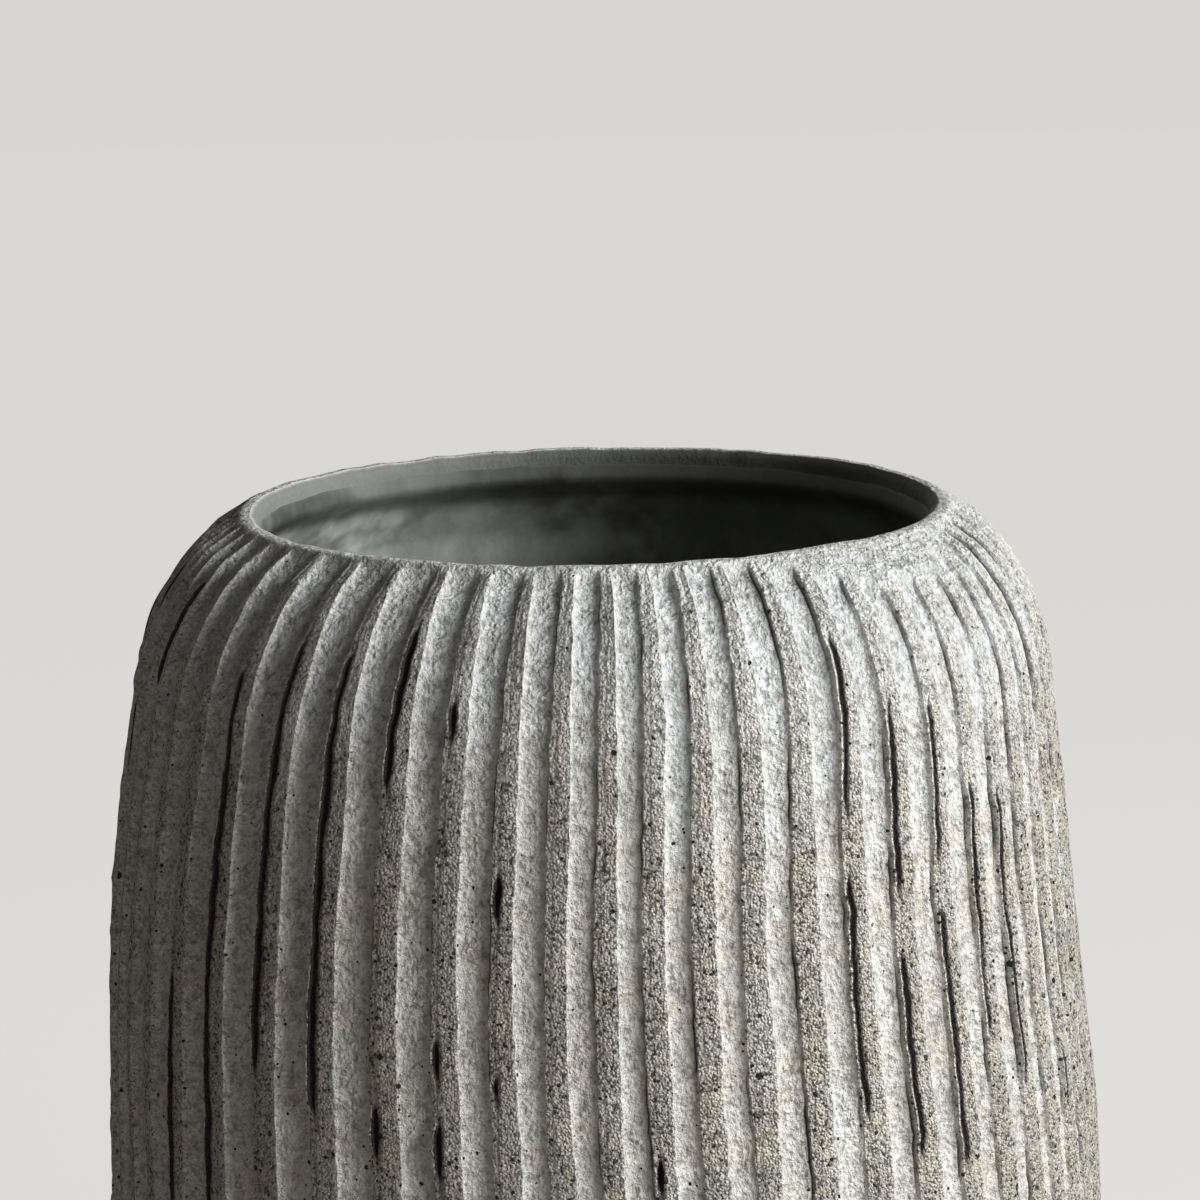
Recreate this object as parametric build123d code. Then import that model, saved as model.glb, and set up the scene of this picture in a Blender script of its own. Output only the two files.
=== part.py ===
from build123d import *
import math
import os

# Overall form in millimetres. The pads stand on Z = 0, the vessel turns about Z.
HEIGHT = 310.0            # ground to the crest of the lip
BELLY_DIAMETER = 240.0    # widest level, measured over the lands between flutes
BELLY_LEVEL = 80.0        # height of that level above the ground
SHOULDER_DIAMETER = 211.0
SHOULDER_DROP = 35.0      # from the crest down to where the shoulder starts to turn in
MOUTH_DIAMETER = 167.0    # outside of the lip at its crest
JOINT_DIAMETER = 200.0    # outside of the joint between wall and slab

# Clay thicknesses
WALL = 9.0                # coiled wall, square to its face
LIP_HEIGHT = 5.0          # plain coil that closes the wall
LIP_WIDTH = 6.0           # lip at its crest
LIP_FLARE = 6.0           # how far the lip leans out from its crest to its joint with the wall
LIP_ROUNDING = 2.2        # rolled edges of the lip
SLAB = 10.0               # edge of the base slab
BOSS = 3.0                # raised middle of the slab that centres the wall
SEAM = 0.3                # slip-filled gap round the boss
GLAZE = 0.6               # sealing coat inside
INSIDE_FLATS = 28         # marks of the paddle that closed the coils, round the inside
GLAZE_STOP = 3.2          # bare clay left between the coat and the crest

# Turned underside and pads
RECESS_DEPTH = 3.0
FOOT_RING = 18.0          # width of the ring the vessel stands on
FOOT_EASING = 1.5         # softened lower edge
PAD_COUNT = 4
PAD_DIAMETER = 14.0
PAD_THICKNESS = 2.0

# Gouged flutes, spaced by hand
FLUTE_COUNT = 60
FLUTE_SHARE = 0.70        # part of each pitch that is flute at the lip; below it the lands widen
FLUTE_FLOOR = 0.5         # part of a flute that is floor, between its two cheeks
FLUTE_DEPTH = 1.3
FLUTE_RUNOUT = 12.0       # length over which a flute fades at either end
FLUTE_END_DEPTH = 0.12    # share of the depth left where it meets lip and slab
PITCH_DRIFT = 0.37        # quick wander of the hand, in pitches
PITCH_WAVES = 5           # how often that wander repeats round the wall
SLOW_DRIFT = 0.42         # slow wander, in pitches
SLOW_WAVES = 3
SLOW_START = 69.0         # where in its wave the slow wander starts, in degrees
FIRST_FLUTE = -93.5       # bearing of the first flute in degrees, before it wanders

# Levels and radii that follow from the sizes above
slab_bottom = PAD_THICKNESS
slab_top = slab_bottom + SLAB
floor_level = slab_top + BOSS
lip_level = HEIGHT - LIP_HEIGHT
bore_radius = MOUTH_DIAMETER / 2 - LIP_WIDTH


def point(radius, level):
    """A point of a half section, on the XZ plane."""
    return Vector(radius, 0, level)


# Outside of the wall over the lands: three arcs, each running on from the last
belly = point(BELLY_DIAMETER / 2, BELLY_LEVEL)
joint = point(JOINT_DIAMETER / 2, slab_top)
shoulder = point(SHOULDER_DIAMETER / 2, HEIGHT - SHOULDER_DROP)
collar = point(MOUTH_DIAMETER / 2 + LIP_FLARE, lip_level)
heel_arc = TangentArc(belly, joint, tangent=(0, 0, -1))
side_arc = TangentArc(belly, shoulder, tangent=(0, 0, 1))
bend_arc = TangentArc(shoulder, collar, tangent=side_arc % 1)

# The slab carries the line of the wall on down to the foot
foot_run = heel_arc % 1
foot_radius = joint.X - SLAB * foot_run.X / foot_run.Z
recess_radius = foot_radius - FOOT_RING


def inset(arc, share, depth):
    """A point of an arc moved square into the clay."""
    spot = arc @ share
    along = arc % share
    turn = 1 if along.Z > 0 else -1
    return point(spot.X - turn * along.Z * depth, spot.Z + turn * along.X * depth)


def heel_radius(level, depth):
    """Distance from the axis to the lower wall, or to a face that lies inside it."""
    draw_in = belly.X - joint.X
    bulge = (draw_in**2 + (BELLY_LEVEL - slab_top) ** 2) / (2 * draw_in)
    return belly.X - bulge + math.sqrt((bulge - depth) ** 2 - (level - BELLY_LEVEL) ** 2)


floor_radius = heel_radius(floor_level, WALL)


def round_ring(spot):
    """Level outline of the hollow, a ring of narrow paddled flats."""
    flat = 2 * math.pi / INSIDE_FLATS
    corners = []
    for index in range(INSIDE_FLATS):
        bearing = (index + 0.5) * flat
        corners.append(Vector(spot.X * math.cos(bearing), spot.X * math.sin(bearing), spot.Z))
    return Wire([Line(a, b) for a, b in zip(corners, corners[1:] + corners[:1])])


def hollow(depth, bottom, top):
    """Solid that fills the inside, at a depth below the outside of the clay, one band to a coil."""
    bore = bore_radius - (depth - WALL)
    coils = [point(heel_radius(bottom, depth), bottom)]
    coils += [inset(heel_arc, share, depth) for share in (0.45, 0.0)]
    coils += [inset(side_arc, share, depth) for share in (0.4, 0.75, 1.0)]
    coils += [inset(bend_arc, share, depth) for share in (0.5, 1.0)]
    coils += [point(bore, lip_level), point(bore, top)]
    return Solid.make_loft([round_ring(spot) for spot in coils], ruled=True)


def disc(radius, bottom, top):
    """Upright round block between two levels."""
    return Pos(0, 0, bottom) * Cylinder(radius, top - bottom, align=(Align.CENTER, Align.CENTER, Align.MIN))


def flute_bearing(index):
    """Bearing of one flute's middle, with the uneven pitch of hand work."""
    turn = 2 * math.pi * index / FLUTE_COUNT
    quick = PITCH_DRIFT * math.sin(PITCH_WAVES * turn)
    slow = SLOW_DRIFT * math.sin(SLOW_WAVES * turn + math.radians(SLOW_START))
    return FIRST_FLUTE + 360 / FLUTE_COUNT * (index - quick + slow)


def fluted_ring(radius, level, depth):
    """Level outline of the fluted wall: a gouge as wide as its tool, and a land, all the way round."""
    corners = []
    share = FLUTE_SHARE * collar.X / radius
    for index in range(FLUTE_COUNT):
        middle = flute_bearing(index)
        left = share * (middle - flute_bearing(index - 1)) / 2
        right = share * (flute_bearing(index + 1) - middle) / 2
        for turn, cut in (-left, 0), (-FLUTE_FLOOR * left, depth), (FLUTE_FLOOR * right, depth), (right, 0):
            bearing = math.radians(middle + turn)
            distance = radius - cut
            corners.append(Vector(distance * math.cos(bearing), distance * math.sin(bearing), level))
    return Wire([Line(a, b) for a, b in zip(corners, corners[1:] + corners[:1])])


def flute_depth(level):
    """Depth of a flute at a level: full along the wall, rounded away at both ends."""
    to_end = min(level - slab_top, lip_level - level)
    fade = min(1.0, max(0.0, to_end / FLUTE_RUNOUT))
    share = math.sqrt(1 - (1 - fade) ** 2)
    return FLUTE_DEPTH * max(FLUTE_END_DEPTH, share)


def fluted_wall():
    """Coiled wall with its gouged flutes, open at both ends."""
    spots = [heel_arc @ share for share in (1.0, 0.9, 0.5)]
    spots += [side_arc @ share for share in (0.0, 0.4, 0.75, 1.0)]
    spots += [bend_arc @ share for share in (0.4, 0.75, 1.0)]
    wall = Solid.make_loft([fluted_ring(s.X, s.Z, flute_depth(s.Z)) for s in spots], ruled=True)
    return wall - hollow(WALL, floor_level, HEIGHT) - disc(floor_radius, 0, floor_level)


def lip_coil():
    """Plain rolled coil round the mouth, its crest turned over in short facets."""
    mouth = point(MOUTH_DIAMETER / 2, HEIGHT)
    outside = (mouth - collar).normalized()
    section = make_face(Polyline(
        point(bore_radius, lip_level),
        collar,
        mouth - outside * LIP_ROUNDING,
        mouth - point(LIP_ROUNDING, 0),
        point(bore_radius + LIP_ROUNDING, HEIGHT),
        point(bore_radius, HEIGHT - LIP_ROUNDING),
        close=True,
    ))
    return revolve(section, Axis.Z)


def floor_slab():
    """Base slab: a cone edge that carries the wall's line down, a boss and a turned recess."""
    edge = make_face(Polyline(
        point(0, slab_bottom), point(foot_radius, slab_bottom), joint, point(0, slab_top), close=True,
    ))
    lower = max(edge.vertices(), key=lambda corner: corner.X - 10 * corner.Z)
    slab = revolve(chamfer(lower, FOOT_EASING), Axis.Z)
    slab += disc(floor_radius - SEAM, slab_top, floor_level)
    return slab - disc(recess_radius, slab_bottom, slab_bottom + RECESS_DEPTH)


def glaze_lining():
    """Thin sealing coat over the floor, the wall and half of the lip's bore."""
    stop = HEIGHT - GLAZE_STOP
    return hollow(WALL, floor_level, stop) - hollow(WALL + GLAZE, floor_level + GLAZE, stop + GLAZE)


def felt_pads():
    """Round pads under the foot ring, evenly spaced."""
    reach = foot_radius - FOOT_RING / 2
    pads = []
    for index in range(PAD_COUNT):
        turn = Rot(0, 0, 45 + 360 / PAD_COUNT * index)
        pads.append(turn * Pos(reach, 0, 0) * disc(PAD_DIAMETER / 2, 0, PAD_THICKNESS))
    return Compound(pads)


PIECES = {
    "fluted_wall": fluted_wall,
    "lip_coil": lip_coil,
    "floor_slab": floor_slab,
    "glaze_lining": glaze_lining,
    "felt_pads": felt_pads,
}

os.makedirs("parts", exist_ok=True)
for node, make in PIECES.items():
    export_step(make(), f"parts/{node}.step")
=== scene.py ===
"""Looks of a hand-gouged stoneware urn vase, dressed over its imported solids."""
import logging
import math
from dataclasses import dataclass
from enum import Enum
from typing import Any

import bmesh
import bpy
import numpy as np
from mathutils import Matrix, Vector


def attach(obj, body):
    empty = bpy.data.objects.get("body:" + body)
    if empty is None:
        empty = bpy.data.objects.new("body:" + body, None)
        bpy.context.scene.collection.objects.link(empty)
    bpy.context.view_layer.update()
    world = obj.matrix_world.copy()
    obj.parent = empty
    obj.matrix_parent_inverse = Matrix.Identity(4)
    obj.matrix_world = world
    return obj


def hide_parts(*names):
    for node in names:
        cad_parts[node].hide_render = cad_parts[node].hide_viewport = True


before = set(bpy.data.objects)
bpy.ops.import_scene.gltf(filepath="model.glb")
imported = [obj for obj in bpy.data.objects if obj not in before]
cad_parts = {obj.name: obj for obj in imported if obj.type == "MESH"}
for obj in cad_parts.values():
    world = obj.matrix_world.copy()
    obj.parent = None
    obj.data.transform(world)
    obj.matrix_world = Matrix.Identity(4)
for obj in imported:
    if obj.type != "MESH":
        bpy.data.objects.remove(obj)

LOG = logging.getLogger("urn_vase")
MM = 0.001
WELD = 1e-6  # metres between points that are joined
HOLE_EDGE = 0.0005  # longest edge in metres round the hole at the middle of a sheet
TABLE_SPAN = 400.0  # millimetres of height that a table of unevenness covers
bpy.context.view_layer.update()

Array = np.ndarray
Floats = tuple[float, ...]
Material = bpy.types.Material
Mesh = bmesh.types.BMesh


class Slot(Enum):
    """Material slots that the record names."""

    WALL = "stoneware"
    LIP = "lip_clay"
    BASE = "base_clay"
    LINER = "liner_glaze"
    FELT = "felt"


class Quarter(Enum):
    """Quarters of the wall, each with the number of its first flute."""

    FRONT = 53
    RIGHT = 68
    BACK = 83
    LEFT = 98


class Wire:
    """A socket in an expression; every operator adds the Math node that works it out."""

    def __init__(self, sheet: "Sheet", socket: bpy.types.NodeSocket) -> None:
        """Keeps the sheet that the nodes go on and the socket that is read."""
        self.sheet = sheet
        self.socket = socket

    def math(self, operation: str, *values: Any, clamp: bool = False) -> "Wire":
        """Adds one Math node with wires or numbers in its sockets and returns its result."""
        settings = {"operation": operation, "use_clamp": clamp}
        return self.sheet.node("Math", settings, dict(enumerate(values)))

    def __add__(self, other: Any) -> "Wire":
        """Sum."""
        return self.math("ADD", self, other)

    __radd__ = __add__

    def __sub__(self, other: Any) -> "Wire":
        """Difference."""
        return self.math("SUBTRACT", self, other)

    def __rsub__(self, other: Any) -> "Wire":
        """Difference the other way round."""
        return self.math("SUBTRACT", other, self)

    def __mul__(self, other: Any) -> "Wire":
        """Product."""
        return self.math("MULTIPLY", self, other)

    __rmul__ = __mul__

    def __gt__(self, other: Any) -> "Wire":
        """One where this is greater, else nought."""
        return self.math("GREATER_THAN", self, other)

    def clamped(self) -> "Wire":
        """The value held between 0 and 1."""
        return self.math("ADD", self, 0.0, clamp=True)

    def ease(self, low: Any, high: Any) -> "Wire":
        """Smooth step.

        Args:
            low: where it leaves 0.
            high: where it reaches 1.

        Returns:
            The eased value.
        """
        settings = {"interpolation_type": "SMOOTHSTEP"}
        sockets = {"Value": self, "From Min": low, "From Max": high}
        return self.sheet.node("MapRange", settings, sockets)


class Sheet:
    """Node sheet of one material or of the world."""

    def __init__(self, owner: Material | bpy.types.World) -> None:
        """Clears the owner's nodes and keeps its sheet.

        Args:
            owner: the material or world.
        """
        owner.use_nodes = True
        self.owner = owner
        self.tree = owner.node_tree
        self.tree.nodes.clear()

    def node(
        self, kind: str, settings: dict[str, Any], sockets: dict[Any, Any], output: Any = None
    ) -> Wire:
        """Adds any node.

        Args:
            kind: the node's type, without the prefix that all share.
            settings: properties, set before its sockets.
            sockets: values or wires by socket name or number.
            output: name or number of the output to read, the first one that is live if None.

        Returns:
            The wire of that output.
        """
        made = self.tree.nodes.new(f"ShaderNode{kind}")
        for key, value in settings.items():
            setattr(made, key, value)
        for key, value in sockets.items():
            if isinstance(value, Wire):
                self.tree.links.new(value.socket, made.inputs[key])
            else:
                made.inputs[key].default_value = value
        if output is None:
            live = [socket for socket in made.outputs if socket.enabled]
            return Wire(self, live[0])
        return Wire(self, made.outputs[output])

    def place(self) -> Wire:
        """Object coordinates in metres."""
        return self.node("TexCoord", {}, {}, "Object")

    def axis(self, place: Wire, name: str) -> Wire:
        """One coordinate of a place."""
        return self.node("SeparateXYZ", {}, {0: place}, name)

    def share(self, name: str) -> Wire:
        """A number kept on the piece's own points."""
        return self.node("Attribute", {"attribute_name": name}, {}, "Fac")

    def noise(self, place: Wire, scale: float, detail: float = 2.0, roughness: float = 0.5) -> Wire:
        """Soft noise between 0 and 1 with about that many cells in a metre."""
        sockets = {"Vector": place, "Scale": scale, "Detail": detail, "Roughness": roughness}
        return self.node("TexNoise", {}, sockets, 0)

    def grains(self, place: Wire, scale: float) -> tuple[Wire, Wire]:
        """Rounded grains.

        Args:
            place: where on the piece.
            scale: grains in a metre.

        Returns:
            Distance from the grain's middle in grains, and a number of its own for each grain.
        """
        distance = self.node("TexVoronoi", {}, {"Vector": place, "Scale": scale}, "Distance")
        colour = Wire(self, distance.socket.node.outputs["Color"])
        own = self.node("SeparateColor", {}, {0: colour}, 0)
        return distance, own

    def stretched(self, place: Wire, x: float, y: float, z: float) -> Wire:
        """The place with each axis scaled."""
        return self.node("Mapping", {}, {"Vector": place, "Scale": (x, y, z)})

    def blend(self, amount: Any, first: Any, second: Any) -> Wire:
        """A colour between two others."""
        return self.node("Mix", {"data_type": "RGBA"}, {0: amount, 6: first, 7: second}, 2)

    def shade(self, colour: Wire, amount: Wire) -> Wire:
        """A colour made lighter or darker by a factor."""
        return self.node("VectorMath", {"operation": "SCALE"}, {0: colour, "Scale": amount})

    def finish(self, colour: Wire, roughness: Any, height: Wire, specular: float) -> Material:
        """Closes the sheet with a Principled shader.

        Args:
            colour: base colour.
            roughness: number or wire.
            height: relief in millimetres for the bump.
            specular: specular level, the same all over.

        Returns:
            The finished material.
        """
        bump = self.node("Bump", {}, {"Strength": 1.0, "Distance": MM, "Height": height})
        sockets = {"Base Color": colour, "Roughness": roughness, "Normal": bump}
        sockets["Specular IOR Level"] = specular
        shader = self.node("BsdfPrincipled", {}, sockets)
        return self.close(shader)

    def close(self, shader: Wire) -> Material | bpy.types.World:
        """Links a shader to the owner's output.

        Args:
            shader: what the output shows.

        Returns:
            The owner.
        """
        kind = "World" if isinstance(self.owner, bpy.types.World) else "Material"
        out = self.tree.nodes.new(f"ShaderNodeOutput{kind}")
        self.tree.links.new(shader.socket, out.inputs["Surface"])
        return self.owner


@dataclass(frozen=True)
class StonewareFinish:
    """Grogged stoneware, gouged and wiped with a thin pale wash."""

    name: str
    flute: Floats = (0.69, 0.68, 0.64, 1.0)
    land: Floats = (0.56, 0.54, 0.482, 1.0)
    warm: Floats = (0.69, 0.62, 0.50, 1.0)
    wash: Floats = (0.68, 0.705, 0.71, 1.0)
    stain: Floats = (0.42, 0.435, 0.395, 1.0)
    # painted highlight: pale colour for beads, fins, crumbs, the flutes' left cheeks and the lip's crest
    edge: Floats = (0.76, 0.755, 0.71, 1.0)
    bore: Floats = (0.135, 0.143, 0.13, 1.0)
    # painted shade: black for slits, the land beside them, the flutes' crease and the pits
    painted_shade: Floats = (0.018, 0.016, 0.013, 1.0)
    grain_scale: float = 1640.0
    curd_scale: float = 900.0
    cloud_scale: float = 75.0
    patch_scale: float = 130.0
    mottle_scale: float = 420.0
    curdle_scale: float = 1000.0
    fine_scale: float = 2400.0
    # Pits and pin pricks: cells in a metre, least own number that opens one, growth where they lie thick
    pit_kinds: tuple[Floats, ...] = ((250.0, 0.46, 0.34), (620.0, 0.42, 0.50))
    pit_least: float = 0.08
    pit_fray: float = 0.22
    wash_from: float = 0.240
    wash_to: float = 0.304
    # Pale grains: real grog specks, made brighter to stand in as painted glints
    pale_grain_glint_levels: Floats = (0.74, 0.86)
    pale_grain_glint_tone: float = 0.92
    pepper_levels: Floats = (0.13, 0.24)
    pepper_tone: float = 0.66
    curd_tone: float = 0.24
    tone_middle: float = 0.88
    tone_range: Floats = (-0.25, 1.45)
    tone_gain: float = 1.3
    # painted light: the bore paler on the -X side and darker on the +X side
    bore_painted_light_fade: Floats = (-0.075, 0.02)
    specular: float = 0.34

    def pits(self, sheet: Sheet, place: Wire, ragged: Wire, amount: Wire) -> Wire:
        """Pits and pin pricks of ragged outline, 1 inside them; their black is painted shade.

        Args:
            sheet: the material's sheet.
            place: where on the piece.
            ragged: noise that frays their outline.
            amount: how thick they lie, 0 to 1.

        Returns:
            The wire of their darkness.
        """
        found = None
        for scale, least, growth in self.pit_kinds:
            middle, own = sheet.grains(place, scale)
            reach = (own - least).clamped() * (self.pit_least + amount * growth)
            frayed = middle + (ragged - 0.5) * self.pit_fray
            hole = 1.0 - frayed.ease(reach * 0.82, reach + 0.002)
            hole = hole * (own > least + 0.05)
            found = hole if found is None else (found + hole).clamped()
        return found

    def make(self) -> Material:
        """Builds the node material.

        Returns:
            The material, which reads the points' land, slit, edge and bore numbers; the slit number brings
            painted shade and the edge number painted highlight.
        """
        sheet = Sheet(bpy.data.materials.new(self.name))
        place = sheet.place()
        land, slit, edge, bore = (sheet.share(name) for name in ("land", "slit", "edge", "bore"))
        level = sheet.axis(place, "Z")
        cloud = sheet.noise(place, self.cloud_scale, 3.0, 0.6)
        patch = sheet.noise(place, self.patch_scale, 3.0, 0.6)
        mottle = sheet.noise(place, self.mottle_scale, 4.0, 0.68)
        curdle = sheet.noise(place, self.curdle_scale, 3.0, 0.62)
        fine = sheet.noise(place, self.fine_scale, 2.0, 0.6)
        from_middle, own = sheet.grains(place, self.grain_scale)
        curd_from_middle, curd_own = sheet.grains(place, self.curd_scale)
        curd = (1.0 - curd_from_middle * 1.3).clamped() * curd_own.ease(0.30, 0.90)
        washed = (level + (cloud - 0.5) * 0.05).ease(self.wash_from, self.wash_to)
        sandy = land * (1.0 - washed * 0.6)
        thick = (cloud.ease(0.38, 0.60) * 0.7 + land * 0.45 + slit * 0.8 + edge * 0.3).clamped()
        thick = thick * (1.0 - bore) * (1.0 - washed * 0.5)
        pit = self.pits(sheet, place, fine, thick)

        grainy = (sandy * 0.92 + 0.08) * (1.0 - bore)
        # Pale grains lighten the clay, partly as real grog and partly as painted glints
        pale_grain_glint = own.ease(*self.pale_grain_glint_levels)
        pepper = 1.0 - own.ease(*self.pepper_levels)
        tone = self.tone_middle
        for noise, plain, more in (mottle, 1.2, 0.3), (curdle, 0.8, 0.6), (cloud, 0.6, 0.0), (fine, 0.4, 0.7):
            tone = tone + (noise - 0.5) * (plain + sandy * more)
        tone = tone + grainy * (pale_grain_glint * self.pale_grain_glint_tone - pepper * self.pepper_tone) + curd * self.curd_tone
        tone = tone.ease(*self.tone_range) * self.tone_gain

        clay = sheet.blend(land * (1.0 - washed * 0.3), self.flute, self.land)
        smear = (1.0 - land * 0.6) * (cloud.ease(0.48, 0.68) * 0.55)
        clay = sheet.blend(patch.ease(0.46, 0.64) * (0.40 + land * 0.15), clay, self.warm)
        wiped = washed * (1.0 - land * 0.45) * (0.4 + mottle * 0.8) + smear
        clay = sheet.blend(wiped.clamped(), clay, self.wash)
        stain = (1.0 - mottle.ease(0.36, 0.52)) * (1.0 - land * 0.8) * (0.30 + cloud * 0.5)
        clay = sheet.blend(stain.clamped(), clay, self.stain)
        # Painted highlight: the edge number lightens beads, fins, crumbs, the flutes' left cheeks and the
        # lip's crest
        clay = sheet.blend((edge * (0.25 + mottle * 0.8)).clamped(), clay, self.edge)
        clay = sheet.shade(clay, tone)
        # Painted light: the bore is paler on the -X side, where light falls into the mouth, and darker on the
        # +X side
        lit = 1.6 - sheet.axis(place, "X").ease(*self.bore_painted_light_fade) * 1.1
        clay = sheet.blend(bore, clay, sheet.shade(self.bore[:3], (0.8 + mottle * 0.4) * lit))
        # Painted shade: the slit number blackens slits, the land beside them and the flutes' right-hand
        # crease
        torn = (slit * (0.70 + curdle * 0.6)).ease(0.10, 0.60)
        clay = sheet.blend(torn * 0.96, clay, self.painted_shade)
        # Painted shade: the pits are blackened
        clay = sheet.blend((pit * 1.3).clamped(), clay, self.painted_shade)

        dome = (1.0 - from_middle * 1.25).clamped() * (0.4 + own)
        sand = dome * 0.85 + fine * 0.40 + curdle * 1.7 + mottle * 0.6
        slip = mottle * 2.4 + curdle * 0.7 + dome * 0.06 + fine * 0.20 + curd * 0.75
        relief = sandy * sand + (1.0 - sandy) * slip
        relief = (relief - pit * 0.5) * (1.0 - bore * 0.85)
        roughness = (0.74 + mottle * 0.25 - pale_grain_glint * grainy * 0.45).clamped()
        return sheet.finish(clay, roughness, relief, self.specular)


@dataclass(frozen=True)
class GlazeFinish:
    """Thin matt sealing glaze, put on all round with a brush and run a little."""

    name: str
    body: Floats = (0.25, 0.266, 0.245, 1.0)
    pale: Floats = (0.42, 0.44, 0.41, 1.0)
    dark: Floats = (0.10, 0.106, 0.095, 1.0)
    cloud_scale: float = 26.0
    run_scale: float = 75.0
    fine_scale: float = 700.0
    # painted light: the lining paler on the -X side and darker on the +X side
    painted_light_fade: Floats = (-0.075, 0.02)
    neck_fade: Floats = (0.2925, 0.2995)

    def make(self) -> Material:
        """Builds the node material.

        Returns:
            The material.
        """
        sheet = Sheet(bpy.data.materials.new(self.name))
        place = sheet.place()
        cloud = sheet.noise(place, self.cloud_scale, 4.0, 0.6)
        runs = sheet.noise(sheet.stretched(place, 1.0, 1.0, 0.25), self.run_scale, 3.0, 0.6)
        fine = sheet.noise(place, self.fine_scale, 3.0, 0.6)
        colour = sheet.blend((runs * 0.6 + cloud * 0.6).ease(0.48, 0.78), self.body, self.pale)
        colour = sheet.blend(1.0 - cloud.ease(0.30, 0.48), colour, self.dark)
        # Painted light: the lining is paler on the -X side, where light falls into the mouth, and darker on
        # the +X side, times a fine real unevenness
        tone_and_painted_light = (0.85 + fine * 0.3) * (1.55 - sheet.axis(place, "X").ease(*self.painted_light_fade) * 1.05)
        colour = sheet.shade(colour, tone_and_painted_light * (1.0 - sheet.axis(place, "Z").ease(*self.neck_fade) * 0.72))
        relief = fine * 0.10 + runs * 0.25
        return sheet.finish(colour, 0.55 + fine * 0.2, relief, 0.35)


@dataclass(frozen=True)
class FeltFinish:
    """Pressed felt with short loose fibres."""

    name: str
    wool: Floats = (0.055, 0.052, 0.05, 1.0)
    fibre: Floats = (0.16, 0.15, 0.145, 1.0)
    fibre_scale: float = 3200.0
    drawn: float = 0.35

    def make(self) -> Material:
        """Builds the node material.

        Returns:
            The material.
        """
        sheet = Sheet(bpy.data.materials.new(self.name))
        place = sheet.place()
        tangle = sheet.noise(sheet.stretched(place, 1.0, self.drawn, 1.0), self.fibre_scale, 4.0, 0.7)
        cross = sheet.noise(sheet.stretched(place, self.drawn, 1.0, 1.0), self.fibre_scale, 4.0, 0.7)
        amount = (tangle * 0.5 + cross * 0.5).ease(0.40, 0.66)
        colour = sheet.blend(amount, self.wool, self.fibre)
        return sheet.finish(colour, 0.95 - amount * 0.05, tangle * 0.3 + cross * 0.3, 0.1)


def smooth(part: Array) -> Array:
    """Course from 0 to 1 that starts and ends level."""
    return part * part * (3 - 2 * part)


def step(value: Array, low: float, high: float) -> Array:
    """Smooth step from 0 at low to 1 at high."""
    return smooth(np.clip((value - low) / (high - low), 0.0, 1.0))


class Unevenness:
    """Seeded smooth unevenness of hand work, with values between -1 and 1."""

    def __init__(self, seed: int, rows: int, wavelength: float) -> None:
        """Draws the values.

        Args:
            seed: start of the random draw, so that each run gives the same.
            rows: number of separate rows, or of cells round the vase.
            wavelength: distance between values up the wall, in millimetres.
        """
        self.wavelength = wavelength
        lines = int(TABLE_SPAN / wavelength) + 4
        self.table = np.random.default_rng(seed).uniform(-1.0, 1.0, (rows, lines))

    def along(self, row: Array, level: Array) -> Array:
        """Values up the wall, each row by itself.

        Args:
            row: number of the row for each column.
            level: height of each line in millimetres.

        Returns:
            An array of lines by columns.
        """
        spot = level[:, None] / self.wavelength + 1
        cell = np.floor(spot).astype(int)
        part = smooth(spot - cell)
        row = row[None, :] % len(self.table)
        return self.table[row, cell] * (1 - part) + self.table[row, cell + 1] * part

    def over(self, bearing: Array, level: Array) -> Array:
        """Values over the whole surface, closed round the vase.

        Args:
            bearing: bearing of each point in degrees.
            level: height of each point in millimetres, of the same shape or one that spreads to it.

        Returns:
            One value for each point.
        """
        count = len(self.table)
        turn = bearing / 360 * count
        side = np.floor(turn).astype(int)
        across = smooth(turn - side)
        spot = level / self.wavelength + 1 + 0 * bearing
        cell = np.floor(spot).astype(int)
        part = smooth(spot - cell)
        near, far = side % count, (side + 1) % count
        low = self.table[near, cell] * (1 - across) + self.table[far, cell] * across
        high = self.table[near, cell + 1] * (1 - across) + self.table[far, cell + 1] * across
        return low * (1 - part) + high * part


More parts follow.
